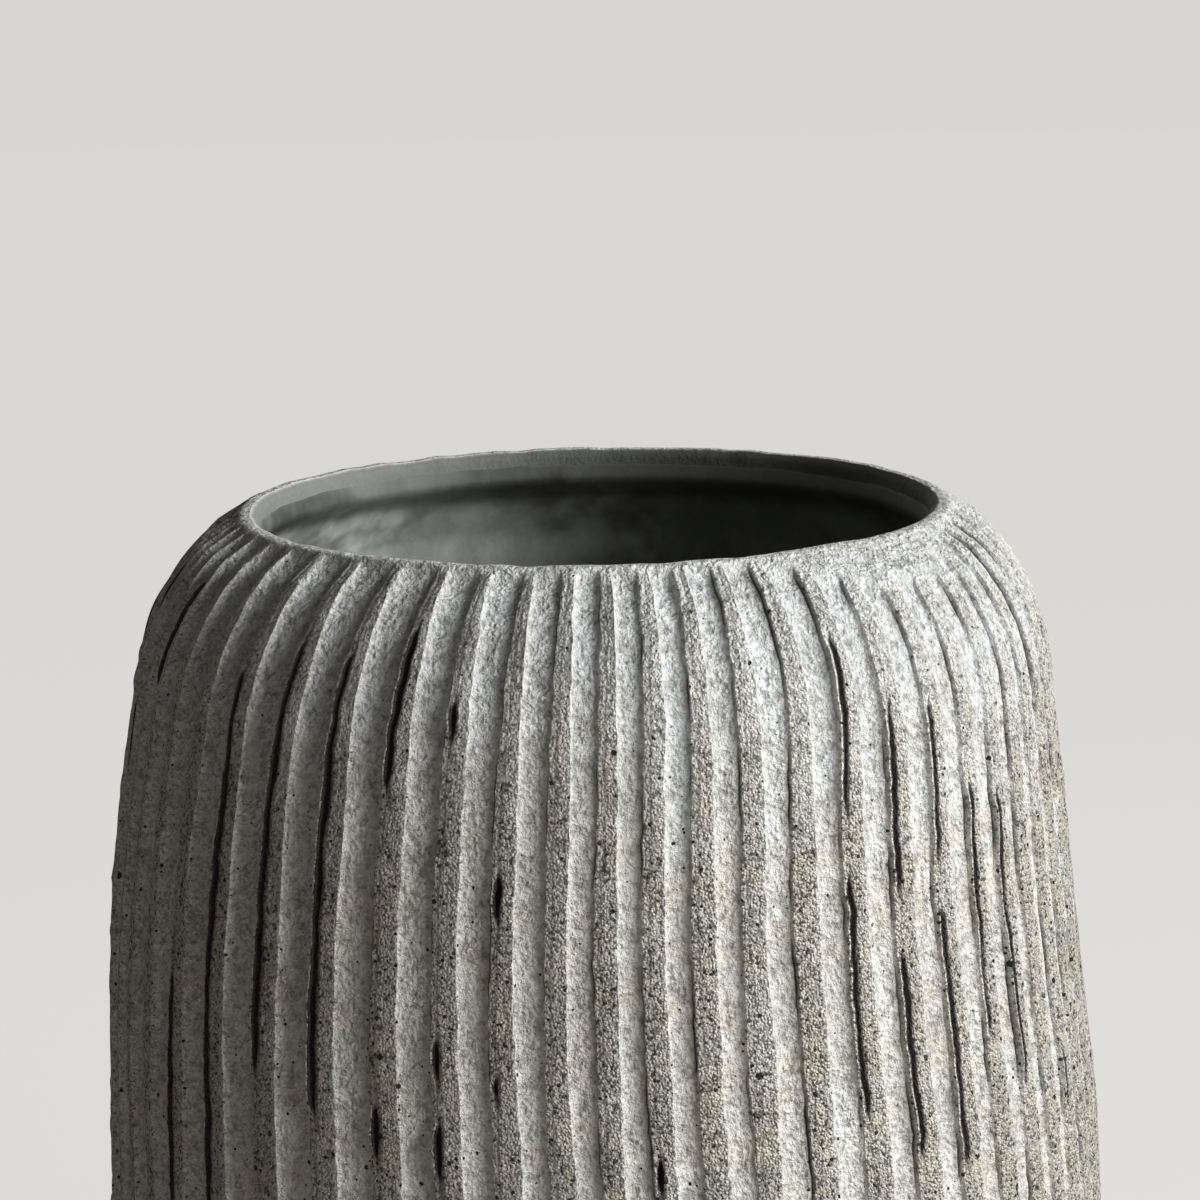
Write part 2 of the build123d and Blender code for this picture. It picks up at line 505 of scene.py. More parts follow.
@dataclass(frozen=True)
class Outline:
    """Outside of the vase over the lands, three arcs that run on from each other, in millimetres."""

    height: float = 310.0
    belly_radius: float = 120.0
    belly_level: float = 80.0
    shoulder_radius: float = 105.5
    shoulder_level: float = 275.0
    collar_radius: float = 89.5
    lip_level: float = 305.0
    mouth_radius: float = 83.5
    lip_width: float = 6.0
    joint_radius: float = 100.0
    slab_top: float = 12.0
    floor_level: float = 15.0
    wall: float = 9.0
    glaze: float = 0.6
    glaze_stop: float = 3.2

    @property
    def bore(self) -> float:
        """Radius of the lip's bore."""
        return self.mouth_radius - self.lip_width

    def arcs(self, level: Array) -> tuple[Array, Array, Array]:
        """Circle that the outside follows at each level.

        Args:
            level: heights in millimetres.

        Returns:
            Distance of the circle's middle from the axis, height of its middle, and its radius.
        """
        heel_in = self.belly_radius - self.joint_radius
        heel = (heel_in**2 + (self.belly_level - self.slab_top) ** 2) / (2 * heel_in)
        side_in = self.belly_radius - self.shoulder_radius
        rise = self.shoulder_level - self.belly_level
        side = (side_in**2 + rise**2) / (2 * side_in)
        tilt = math.asin(rise / side)
        run = self.collar_radius - self.shoulder_radius, self.lip_level - self.shoulder_level
        bend = -(run[0] ** 2 + run[1] ** 2) / (2 * (run[0] * math.cos(tilt) + run[1] * math.sin(tilt)))
        low, high = level < self.belly_level, level > self.shoulder_level
        middle = np.where(low, self.belly_radius - heel, self.belly_radius - side)
        middle = np.where(high, self.shoulder_radius - bend * math.cos(tilt), middle)
        rest = np.where(high, self.shoulder_level - bend * math.sin(tilt), self.belly_level)
        return middle, rest, np.where(high, bend, np.where(low, heel, side))

    def radius(self, level: Array) -> Array:
        """Distance from the axis at each level."""
        middle, rest, bend = self.arcs(level)
        return middle + np.sqrt(bend**2 - (level - rest) ** 2)

    def lean(self, level: Array) -> Array:
        """Angle in radians by which the surface faces up at each level."""
        _, rest, bend = self.arcs(level)
        return np.arcsin((level - rest) / bend)


@dataclass(frozen=True)
class Hand:
    """Unevenness of the whole hand-built form."""

    sway: float = 1.1
    sway_length: float = 160.0
    lobe: float = 0.45
    dent: float = 0.22
    free: Floats = (14.0, 90.0)
    top: float = 310.0
    lobes: Unevenness = Unevenness(11, 7, 60.0)
    dents: Unevenness = Unevenness(12, 26, 24.0)

    def move(self, bearing: Array, level: Array) -> tuple[Array, Array]:
        """How far the form stands off a true round.

        Args:
            bearing: bearings in degrees.
            level: heights in millimetres.

        Returns:
            Millimetres along X, and millimetres outwards.
        """
        held = step(level, *self.free)
        shift = held * self.sway * np.cos(2 * math.pi * (self.top - level) / self.sway_length)
        out = self.lobe * self.lobes.over(bearing, level) + self.dent * self.dents.over(bearing, level)
        return shift + 0 * bearing, held * out


@dataclass(frozen=True)
class Columns:
    """What each column of points of the wall stands on."""

    flute: Array  # number of its flute
    on_land: Array  # whether it is on the land at the right of that flute
    across: Array  # place across the flute, from -1 to 1
    off: Array  # millimetres from the flute's right edge
    rest: Array  # place across the rest of the land, from 0 to 1


@dataclass(frozen=True)
class Flutes:
    """Gouged flutes, each as wide as its tool, with sandy lands between them, spaced by hand."""

    count: int = 60
    share: float = 0.70
    depth: float = 1.3
    tilt: float = 0.55
    first: float = -93.5
    # Wander of the spacing: pitches, waves round the wall, and where the slow one starts, in degrees
    quick: tuple[float, int] = (0.37, 5)
    slow: tuple[float, int, float] = (0.42, 3, 69.0)
    share_radius: float = 89.5
    most_share: float = 0.74
    # Millimetres by which a flute's edges stray
    wander_by: float = 0.30
    lumps_by: float = 0.19
    nibble_by: float = 0.16
    chatter_by: float = 0.11
    run_out: float = 309.8
    run_out_by: float = 0.5
    run_out_seed: int = 31
    plain_bearing: float = -45.0
    plain_width: float = 13.0
    plain_drop: float = 7.0
    # Tears: when a land opens, and how far they keep from the flute's upper end and from the ground
    tear_seed: int = 32
    tear_limits: Floats = (-0.1, 1.3)
    tear_onset: float = 0.14
    tear_clear_top: Floats = (8.0, 11.0)
    tear_clear_foot: Floats = (24.0, 30.0)
    slit_shut: float = 0.35
    slit_depth: float = 2.3
    # How the flutes run out above and below
    top_run: float = 2.6
    foot_start: float = 14.5
    foot_start_by: float = 1.5
    foot_start_turn: float = 2.4
    foot_run: float = 9.0
    run_power: float = 2.2
    # Section of a flute: its hollow, fuller near the top, the step at its left, the crease at its right
    fullness: float = 2.05
    top_fullness: float = 1.6
    top_fullness_run: float = 22.0
    top_reach: float = 200.0
    shelf_depth: float = 0.50
    shelf_left: Floats = (-1.0, -0.88)
    shelf_right: Floats = (0.84, 1.0)
    crease_depth: float = 0.45
    crease_at: float = 0.91
    crease_width: float = 0.07
    bead_width: float = 0.09
    slope_knee: float = 0.45
    land_grit: float = 0.08
    flute_grit: float = 0.10
    crumb_height: float = 0.20
    crumb_levels: Floats = (0.42, 0.85)
    crumb_grit: Floats = (-0.1, 0.4)
    # Places across a flute: sandy beyond the first on either side, with painted highlight on the cheek to the
    # left of the second
    sandy_from: float = 0.9
    painted_highlight_to: float = -0.8
    # Shapes across a land: millimetres from the flute's edge, and the share there
    slot_shape: tuple[Floats, Floats] = ((0.58, 0.70, 1.9, 2.02), (0.0, 1.0, 1.0, 0.0))
    shadow_shape: tuple[Floats, Floats] = ((0.3, 0.58, 1.9, 2.02, 4.2), (0.0, 1.0, 1.0, 0.4, 0.0))
    fin_shape: tuple[Floats, Floats] = ((0.0, 0.58, 0.69), (1.0, 0.85, 0.0))
    land_spread: float = 9.0
    # Columns of points: places across a flute, and millimetres beside it
    across: Floats = (
        -1, -0.96, -0.91, -0.84, -0.7, -0.5, -0.25, 0, 0.25, 0.48, 0.66, 0.8, 0.9, 0.96,
    )
    beside: Floats = (0.0, 0.28, 0.58, 0.70, 1.3, 1.9, 2.02)
    # Long slits in front: the lands that tear by these alone, taper of the ends, and the slits, each with
    # the number of its land, its upper end and its lower end
    placed_rips: tuple[int, int] = (-7, 9)
    rip_tapers: Floats = (5.0, 9.0)
    rips: tuple[tuple[int, float, float], ...] = (
        (-7, 290, 150), (-6, 297, 203), (-5, 296, 198), (-4, 301, 266), (-4, 206, 190), (-3, 288, 277),
        (-3, 221, 208), (-3, 204, 187), (-2, 255, 242), (-2, 214, 205), (-2, 180, 150), (5, 297, 258),
        (5, 250, 196), (6, 283, 240), (6, 232, 185), (7, 281, 244), (7, 238, 180), (8, 262, 205),
        (9, 258, 190), (1, 197, 186),
    )
    wander: Unevenness = Unevenness(21, 120, 24.0)
    lumps: Unevenness = Unevenness(22, 120, 3.6)
    nibble: Unevenness = Unevenness(26, 120, 1.9)
    press: Unevenness = Unevenness(23, 60, 45.0)
    chatter: Unevenness = Unevenness(24, 60, 8.0)
    tear: Unevenness = Unevenness(25, 60, 38.0)
    burr: Unevenness = Unevenness(27, 120, 11.0)
    skin: Unevenness = Unevenness(28, 230, 3.2)
    crumbs: Unevenness = Unevenness(29, 330, 2.4)

    def bearing(self, flute: Array) -> Array:
        """Bearing of each flute's middle, with the wander of the hand.

        Args:
            flute: numbers of flutes.

        Returns:
            Bearings in degrees.
        """
        turn = 2 * math.pi * flute / self.count
        quick = self.quick[0] * np.sin(self.quick[1] * turn)
        slow = self.slow[0] * np.sin(self.slow[1] * turn + math.radians(self.slow[2]))
        return self.first + 360 / self.count * (flute - quick + slow)

    def arris(self, flute: Array, side: int, level: Array, radius: Array) -> Array:
        """Bearing of a flute's edge.

        Args:
            flute: number of the flute for each column.
            side: -1 for its left edge, 1 for its right one.
            level: height of each line.
            radius: radius at each line.

        Returns:
            Bearings in degrees, lines by columns.
        """
        share = np.minimum(self.share * self.share_radius / radius, self.most_share)[:, None]
        half = share * side * (self.bearing(flute + side) - self.bearing(flute)) / 2
        row = 2 * (flute % self.count) + (side > 0)
        off = self.wander_by * self.wander.along(row, level) + self.lumps_by * self.lumps.along(row, level)
        off = off + self.nibble_by * self.nibble.along(row, level)
        off = off + side * self.chatter_by * self.chatter.along(flute % self.count, level)
        return self.bearing(flute) + side * half + np.degrees(off / radius[:, None])

    def layout(self, first: int, cells: int) -> Columns:
        """Columns of points over some flutes.

        Args:
            first: number of the first flute.
            cells: how many flutes.

        Returns:
            The columns, from the middle of one land to the middle of another.
        """
        columns = []
        for number in range(first, first + cells + 1):
            columns += [(number - 1, True, 1.0, self.beside[-1], rest) for rest in (0.5, 0.75)]
            columns += [(number, False, place, 0.0, 0.0) for place in self.across]
            columns += [(number, True, 1.0, off, 0.0) for off in self.beside]
            columns += [(number, True, 1.0, self.beside[-1], 0.25)]
        pitch = len(columns) // (cells + 1)
        return Columns(*(np.array(values) for values in zip(*columns[:cells * pitch + 1])))

    def sharp(self, first: int, cells: int) -> Array:
        """Columns along which the tool left a keen edge.

        Args:
            first: number of the first flute.
            cells: how many flutes.

        Returns:
            True for each such column.
        """
        columns = self.layout(first, cells)
        fin = (columns.rest == 0) & (columns.off < self.beside[3]) & (columns.off != self.beside[1])
        return np.where(columns.on_land, fin, columns.across == -1)

    def top(self, flute: Array) -> Array:
        """Height at which each flute runs out below the lip: lower where the wall was left plain.

        Args:
            flute: numbers of flutes.

        Returns:
            Heights in millimetres.
        """
        number = flute % self.count
        draw = np.random.default_rng(self.run_out_seed).uniform(-1.0, 1.0, self.count)[number]
        aside = (self.bearing(number) - self.plain_bearing + 180) % 360 - 180
        plain = np.exp(-((aside / self.plain_width) ** 2))
        return self.run_out + self.run_out_by * draw - self.plain_drop * plain

    def torn(self, number: Array, level: Array) -> Array:
        """How far the land beside each flute is torn open.

        Args:
            number: number of the flute for each column.
            level: height of each line.

        Returns:
            Shares from 0 to 1, lines by columns.
        """
        limit = np.random.default_rng(self.tear_seed).uniform(*self.tear_limits, self.count)[number][None, :]
        half = self.count // 2
        front = (((number + half) % self.count) - half)[None, :]
        by_chance = (front < self.placed_rips[0]) | (front > self.placed_rips[1])
        height = level[:, None]
        torn = step(self.tear.along(number, level) - limit, 0.0, self.tear_onset) * by_chance
        above, below = self.rip_tapers
        for land, upper, lower in self.rips:
            mark = step(upper - height, 0.0, above) * step(height - lower, 0.0, below)
            torn = np.maximum(torn, mark * (front == land))
        ends = step(self.top(number)[None, :] - height, *self.tear_clear_top)
        ends = ends * step(height, *self.tear_clear_foot)
        return torn * ends * (0.82 + 0.25 * self.chatter.along(number, level))

    def bearings(self, columns: Columns, torn: Array, level: Array, radius: Array) -> Array:
        """Where the columns run, drawn together beside a slit that is shut.

        Args:
            columns: what the columns stand on.
            torn: how far the land is torn open.
            level: height of each line.
            radius: radius at each line.

        Returns:
            Bearings in degrees, lines by columns.
        """
        left, right = (self.arris(columns.flute, side, level, radius) for side in (-1, 1))
        onward = self.arris(columns.flute + 1, -1, level, radius)
        middle = self.beside[4]
        opening = self.slit_shut + (1 - self.slit_shut) * torn
        drawn = middle + (columns.off - middle) * opening
        reach = np.where(columns.off > self.beside[1], drawn, columns.off + 0 * torn)
        beside = right + np.degrees(reach / radius[:, None])
        inside = left + (right - left) * (columns.across + 1) / 2
        return np.where(columns.on_land, beside + (onward - beside) * columns.rest, inside)

    def ends(self, flute: Array, level: Array) -> tuple[Array, Array]:
        """How the flutes run out towards the lip and the foot.

        Args:
            flute: number of the flute for each column.
            level: height of each line.

        Returns:
            Millimetres below the flute's upper end, and the share of its depth that is lost.
        """
        below = self.top(flute)[None, :] - level[:, None]
        to_top = np.clip(below / self.top_run, 0.0, 1.0)
        start = self.foot_start_by * np.sin(flute % self.count * self.foot_start_turn)
        to_foot = np.clip((level[:, None] - self.foot_start - start) / self.foot_run, 0.0, 1.0)
        return below, (1 - to_top) ** self.run_power + (1 - to_foot) ** self.run_power

    def cut(self, flute: Array, level: Array) -> Array:
        """Share of its depth that each flute keeps, lines by columns."""
        return np.clip(1 - self.ends(flute, level)[1], 0.0, 1.0)

    def gouge(self, columns: Columns, level: Array) -> tuple[Array, Array]:
        """Depth of the flutes: a hollow, the step down to it, and a crease along its right edge.

        Args:
            columns: what the columns stand on.
            level: height of each line.

        Returns:
            The whole depth, and the crease alone.
        """
        number, across = columns.flute % self.count, columns.across
        below, ends = self.ends(columns.flute, level)
        cut = np.clip(1 - ends, 0.0, 1.0)
        press, chatter = self.press.along(number, level), self.chatter.along(number, level)
        deep = self.depth * (0.92 + 0.20 * press + 0.09 * chatter)
        near_top = np.exp(-np.clip(below, 0.0, self.top_reach) / self.top_fullness_run)
        fullness = self.fullness + 0.3 * press + self.top_fullness * near_top
        hollow = deep * np.clip(1 - np.abs(across)[None, :] ** fullness - ends, 0.0, 1.0)
        shelf = (step(across, *self.shelf_left) * (1 - step(across, *self.shelf_right)))[None, :]
        shelf = self.shelf_depth * cut * shelf
        keen = np.clip(0.55 + 0.55 * chatter, 0.0, 1.0)
        crease = np.exp(-(((across - self.crease_at) / self.crease_width) ** 2))[None, :]
        crease = self.crease_depth * cut * keen * crease
        return hollow + shelf + crease, crease

    def burrs(self, columns: Columns, torn: Array, level: Array) -> tuple[Array, Array]:
        """Clay that the tool raised.

        Args:
            columns: what the columns stand on.
            torn: how far the land is torn open.
            level: height of each line.

        Returns:
            Heights of the thin fin at a flute's right edge and of the bead at its left edge.
        """
        number, on_land = columns.flute % self.count, columns.on_land
        cut = self.cut(columns.flute, level)
        rough = self.burr.along(2 * number + 1, level)
        fin = np.interp(columns.off + self.land_spread * columns.rest, *self.fin_shape)[None, :] * on_land
        fin = fin * (0.04 + 0.16 * np.clip(rough, 0.0, 1.0) + 0.42 * torn * (1 + 0.4 * rough)) * cut
        in_flute = (self.bead_width - 1 - columns.across) / self.bead_width
        bead = np.clip(np.where(on_land, 2 * columns.rest - 1, in_flute), 0.0, 1.0)[None, :]
        row = np.where(on_land, 2 * ((number + 1) % self.count), 2 * number)
        bump = self.burr.along(row, level) * 0.5 + self.lumps.along(row, level) * 0.6
        return fin, bead * (0.06 + 0.36 * np.clip(bump, -0.2, 1.0)) * cut

    def slope(self, columns: Columns) -> Array:
        """Share of the lands' tilt at each column, which runs on into the flutes.

        Args:
            columns: what the columns stand on.

        Returns:
            Shares from 0 to 1.
        """
        near = self.slope_knee * columns.off / self.beside[-1]
        far = self.slope_knee + (1 - self.slope_knee) * columns.rest
        beyond = np.where(columns.rest > 0, far, near)
        return np.where(columns.on_land, (1 - beyond) ** 3, np.clip(columns.across, 0.0, 1.0) ** 1.5)

    def surface(
        self, first: int, cells: int, level: Array, radius: Array
    ) -> tuple[Array, Array, dict[str, Array]]:
        """The gouged surface over some flutes.

        Args:
            first: number of the first flute.
            cells: how many flutes.
            level: height of each line.
            radius: radius at each line.

        Returns:
            Bearings in degrees, depth below the lands in millimetres, and the points' land, slit and edge
            numbers, each lines by columns; the slit number is painted shade and the edge number painted
            highlight.
        """
        columns = self.layout(first, cells)
        on_land, across = columns.on_land[None, :], columns.across[None, :]
        torn = self.torn(columns.flute % self.count, level)
        bearing = self.bearings(columns, torn, level, radius)
        cut = self.cut(columns.flute, level)
        gouged, crease = self.gouge(columns, level)
        fin, bead = self.burrs(columns, torn, level)
        over = columns.off + self.land_spread * columns.rest
        slot = np.interp(over, *self.slot_shape)[None, :] * on_land * torn
        shadow = np.interp(over, *self.shadow_shape)[None, :] * on_land * np.clip(torn * 1.3, 0.0, 1.0)
        slope = self.tilt * cut * self.slope(columns)[None, :] * (1 - 0.7 * torn)
        grit = self.skin.over(bearing, level[:, None])
        crumb = step(self.crumbs.over(bearing, level[:, None]), *self.crumb_levels)
        crumb = crumb * step(grit, *self.crumb_grit)
        depth = np.where(on_land, self.slit_depth * slot - fin, gouged) + slope - bead
        depth = depth - np.where(on_land, self.land_grit, self.flute_grit) * grit
        depth = depth - self.crumb_height * crumb * (1 - slot)
        sandy = np.where(on_land, 1.0, np.where(np.abs(across) > self.sandy_from, 0.45, 0.0))
        # Painted highlight on beads, fins, crumbs and the flute's left cheek
        painted_highlight = bead * 3.5 + fin * 1.6 + 0.5 * crumb + 0.5 * (across < self.painted_highlight_to)
        shares = {
            "land": sandy * (0.3 + 0.7 * cut),
            # Painted shade in slits, beside them and along the crease
            "slit": shadow + 1.35 * crease,
            "edge": np.clip(painted_highlight, 0.0, 1.0),
        }
        return bearing, depth, shares


def bent(
    places: Array, shares: dict[str, Array] | None = None, sharp: Array | None = None
) -> Mesh:
    """A sheet of points bent to its places, with the numbers that its finish reads.

    Args:
        places: coordinates in millimetres, rows by columns by three.
        shares: numbers for each point, rows by columns, by name.
        sharp: for each column, whether the shading breaks along it.

    Returns:
        The sheet, in metres.
    """
    rows, columns = places.shape[:2]
    mesh = bmesh.new()
    bmesh.ops.create_grid(mesh, x_segments=columns - 1, y_segments=rows - 1, size=0.5)
    spots = np.array([vert.co for vert in mesh.verts])[:, :2]
    part = (spots - spots.min(axis=0)) / np.ptp(spots, axis=0)
    column = np.rint(part[:, 0] * (columns - 1)).astype(int)
    row = np.rint(part[:, 1] * (rows - 1)).astype(int)
    for key, values in (shares or {}).items():
        layer = mesh.verts.layers.float.new(key)
        for vert, value in zip(mesh.verts, (values + 0 * places[..., 0])[row, column].tolist()):
            vert[layer] = value
    for vert, spot in zip(mesh.verts, (places[row, column] * MM).tolist()):
        vert.co = spot
    if sharp is not None:
        mesh.verts.index_update()
        for edge in mesh.edges:
            first, second = (column[vert.index] for vert in edge.verts)
            edge.smooth = not (first == second and sharp[first])
    return mesh


def ring_places(bearing: Array, radius: Array, level: Array, shift: Array | float) -> Array:
    """Coordinates from bearings in degrees, radii, heights and a shift along X."""
    turn = np.radians(bearing)
    return np.stack((radius * np.cos(turn) + shift, radius * np.sin(turn), level + 0 * radius), axis=-1)


def outwards(mesh: Mesh) -> None:
    """Turns the faces of a sheet round the axis so that its widest part faces away from the axis.

    Args:
        mesh: the bent sheet.
    """
    mesh.normal_update()
    widest = max(mesh.faces, key=lambda face: face.calc_center_median().xy.length)
    if widest.normal.xy.dot(widest.calc_center_median().xy) < 0:
        bmesh.ops.reverse_faces(mesh, faces=mesh.faces[:])


def fill_middle(mesh: Mesh) -> None:
    """Closes the small hole that a welded sheet round the axis leaves at its middle."""
    hole = [edge for edge in mesh.edges if edge.is_boundary and edge.calc_length() < HOLE_EDGE]
    bmesh.ops.edgeloop_fill(mesh, edges=hole)


def linked(name: str, data: Any) -> bpy.types.Object:
    """A new object in the scene.

    Args:
        name: its name.
        data: its mesh, camera or lamp.

    Returns:
        The object.
    """
    made = bpy.data.objects.new(name, data)
    bpy.context.collection.objects.link(made)
    return made


def poured(mesh: Mesh, name: str, material: Material) -> bpy.types.Object:
    """Turns a bmesh into an object with one finish.

    Args:
        mesh: the modelled shape, which is freed.
        name: name of the object.
        material: its finish.

    Returns:
        The object.
    """
    data = bpy.data.meshes.new(name)
    mesh.to_mesh(data)
    mesh.free()
    data.materials.append(material)
    return linked(name, data)


def keep(mesh: Mesh, name: str, material: Material, node: str) -> None:
    """Turns a bmesh into a finished piece that rides on the vase.

    Args:
        mesh: the modelled piece, in metres in the vase's frame.
        name: name of the piece.
        material: its finish.
        node: the solid that it stands for.
    """
    for face in mesh.faces:
        face.smooth = True
    piece = poured(mesh, name, material)
    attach(piece, "root")
    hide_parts(node)
    LOG.info("%s: %d points, %d faces", name, len(piece.data.vertices), len(piece.data.polygons))


@dataclass
class FlutedWall:
    """The coiled wall with its gouged flutes, in quarters."""

    outline: Outline
    hand: Hand
    flutes: Flutes
    cells: int = 15
    fine_from: float = 130.0
    fine_rows: int = 175
    coarse_rows: int = 73

    def levels(self) -> Array:
        """Heights of the lines of points, closer together where the vase is seen from near.

        Returns:
            Heights in millimetres, from the slab up to the lip.
        """
        low = np.linspace(self.outline.slab_top, self.fine_from, self.coarse_rows, endpoint=False)
        high = np.linspace(self.fine_from, self.outline.lip_level, self.fine_rows + 1)
        return np.concatenate((low, high))

    def build(self, finish: Material) -> None:
        """Makes the quarters.

        Args:
            finish: material of the wall.
        """
        level = self.levels()
        radius, lean = self.outline.radius(level), self.outline.lean(level)[:, None]
        for quarter in Quarter:
            bearing, depth, shares = self.flutes.surface(quarter.value, self.cells, level, radius)
            shift, out = self.hand.move(bearing, level[:, None])
            reach = radius[:, None] + out - depth * np.cos(lean)
            places = ring_places(bearing, reach, level[:, None] - depth * np.sin(lean), shift)
            mesh = bent(places, shares, self.flutes.sharp(quarter.value, self.cells))
            outwards(mesh)
            keep(mesh, f"wall_{quarter.name.lower()}", finish, "fluted_wall")


@dataclass
class LipCoil:
    """The rolled coil that closes the wall, with the flutes running out on its slope."""

    outline: Outline
    hand: Hand
    flutes: Flutes
    rounding: float = 2.2
    outer_inset: float = 2.75
    inner_end: float = 302.0
    slope_lines: int = 8
    outer_lines: int = 8
    inner_lines: int = 9
    bore_lines: int = 6
    nick: float = 0.26
    wave: float = 0.35
    # Facing angles in degrees: where the flutes stop, and over which the bore's tone sets in
    flutes_to: float = 72.8
    bore_from: Floats = (99.0, 129.6)
    # Millimetres below the crest over which the flutes set in, the nicks end and the painted highlight along
    # the crest ends
    flutes_below: Floats = (0.15, 1.0)
    nicks_above: Floats = (1.0, 5.0)
    crest_highlight_above: Floats = (0.2, 1.5)
    nicks: Unevenness = Unevenness(41, 90, 40.0)
    waves: Unevenness = Unevenness(42, 14, 80.0)

    def roll(self, middle: Array, turn: Array) -> Array:
        """Points of a rolled edge round its middle."""
        return middle + self.rounding * np.stack((np.cos(turn), np.sin(turn)), axis=-1)

    def section(self) -> tuple[Array, Array, Array]:
        """Half section from the joint over the crest into the bore.

        Returns:
            Radius, height and facing angle of each point.
        """
        line = self.outline
        rise = line.height - line.lip_level
        face = math.atan2(line.collar_radius - line.mouth_radius, rise)
        outer_middle = np.array((line.mouth_radius - self.outer_inset, line.height - self.rounding))
        inner_middle = np.array((line.bore + self.rounding, line.height - self.rounding))
        turn_out = np.linspace(face, math.pi / 2, self.outer_lines)
        turn_in = np.linspace(math.pi / 2, math.pi, self.inner_lines)
        over, into = self.roll(outer_middle, turn_out), self.roll(inner_middle, turn_in)
        start = np.array((line.collar_radius, line.lip_level))
        slope = start + (over[0] - start) * np.linspace(0, 1, self.slope_lines, endpoint=False)[:, None]
        heights = np.linspace(into[-1][1], self.inner_end, self.bore_lines + 1)[1:]
        down = [(line.bore, height) for height in heights]
        radius, level = np.concatenate((slope, over, into, down)).T
        facing = np.concatenate((np.full(len(slope), face), turn_out, turn_in, np.full(len(down), math.pi)))
        return radius, level, facing

    def build(self, finish: Material) -> None:
        """Makes the lip.

        Args:
            finish: material of the lip.
        """
        radius, level, facing = self.section()
        outer = facing < math.radians(self.flutes_to)
        around = np.where(outer, radius, self.outline.mouth_radius)
        first = Quarter.FRONT.value
        bearing, depth, shares = self.flutes.surface(first, self.flutes.count, level, around)
        below, height, face = (self.outline.height - level)[:, None], level[:, None], facing[:, None]
        fade = outer[:, None] * step(below, *self.flutes_below)
        crest = 1 - step(below, *self.nicks_above)
        depth = depth * fade - self.nick * self.nicks.over(bearing, height) * crest
        shift, out = self.hand.move(bearing, height)
        lift = self.wave * self.waves.over(bearing, 0 * height) * crest
        reach = radius[:, None] + out - depth * np.cos(face)
        places = ring_places(bearing, reach, height + lift - depth * np.sin(face), shift)
        shares["land"] = 0.35 + 0.4 * shares["land"] * fade
        # Painted shade in slits and creases fades out with the flutes, and a painted highlight runs along the
        # crest
        shares["slit"] = shares["slit"] * fade
        shares["edge"] = shares["edge"] * fade + 0.35 * (1 - step(below, *self.crest_highlight_above))
        shares["bore"] = step(np.degrees(face), *self.bore_from)
        mesh = bent(places, shares)
        bmesh.ops.remove_doubles(mesh, verts=mesh.verts[:], dist=WELD)
        outwards(mesh)
        keep(mesh, "lip_rim", finish, "lip_coil")


@dataclass
class GlazeLining:
    """The sealing coat inside, over the floor, the coiled wall and part of the lip's bore."""

    outline: Outline
    hand: Hand
    columns: int = 240
    floor_lines: int = 24
    wall_lines: int = 130
    wall_from: float = 2.0
    core: float = 0.5
    # Cove between floor and wall: in from the wall's lowest line, and up from the floor
    cove_width: float = 5.0
    cove_height: float = 4.0
    cove_middle: Floats = (1.8, 1.2)
    # Turn into the bore: out from its face, and down from the joint of the lip
    neck_turn: tuple[Floats, ...] = ((1.2, 4.0), (0.1, 2.6))
    # Edge that thins out in the bore: shares of its length, its length, and how far it sinks into the clay
    feather: Floats = (0.0, 0.3, 0.6, 1.0)
    feather_length: float = 3.6
    feather_sink: float = 0.15
    edge_sink: float = 1.5
    coil_pitch: float = 13.0
    ripple: float = 0.35
    ripple_from: Floats = (22.0, 40.0)
    ripple_to: Floats = (296.0, 302.0)
    uneven_from: Floats = (20.0, 70.0)
    coils: Unevenness = Unevenness(51, 40, 9.0)

    def section(self) -> tuple[Array, Array]:
        """Half section from the middle of the floor up to the stop in the bore.

        Returns:
            Radius and height of each point.
        """
        line = self.outline
        depth = line.wall + line.glaze
        level = np.linspace(line.floor_level + self.wall_from, line.lip_level, self.wall_lines)
        lean = line.lean(level)
        radius, height = line.radius(level) - depth * np.cos(lean), level - depth * np.sin(lean)
        face = line.floor_level + line.glaze
        clear = height > face + self.cove_height
        wall = np.stack((radius[clear], height[clear]), axis=-1)
        lowest = wall[0][0]
        reaches = np.linspace(self.core, lowest - self.cove_width, self.floor_lines)
        floor = [(reach, face) for reach in reaches]
        floor.append((lowest - self.cove_middle[0], face + self.cove_middle[1]))
        bore = line.bore - line.glaze
        top = line.height - line.glaze_stop
        neck = [(bore + out, line.lip_level - down) for out, down in self.neck_turn]
        for part in self.feather:
            thinned = part * (line.glaze + self.feather_sink)
            neck.append((bore + thinned, top - self.feather_length * (1 - part)))
        neck.append((bore + self.edge_sink, top))
        return np.concatenate((floor, wall, neck)).T

    def build(self, finish: Material) -> None:
        """Makes the lining.

        Args:
            finish: material of the glaze.
        """
        radius, level = self.section()
        bearing = np.linspace(0.0, 360.0, self.columns + 1)[None, :]
        shift, out = self.hand.move(bearing, level[:, None])
        on_wall = step(level, *self.ripple_from) * (1 - step(level, *self.ripple_to))
        coil = np.cos(2 * math.pi * level / self.coil_pitch)[:, None]
        coil = self.ripple * on_wall[:, None] * (coil + self.coils.over(bearing, level[:, None]))
        out = out * step(radius, *self.uneven_from)[:, None]
        places = ring_places(bearing, radius[:, None] + out + coil, level[:, None], shift)
        mesh = bent(places)
        bmesh.ops.remove_doubles(mesh, verts=mesh.verts[:], dist=WELD)
        outwards(mesh)
        bmesh.ops.reverse_faces(mesh, faces=mesh.faces[:])
        fill_middle(mesh)
        keep(mesh, "glaze_inside", finish, "glaze_lining")


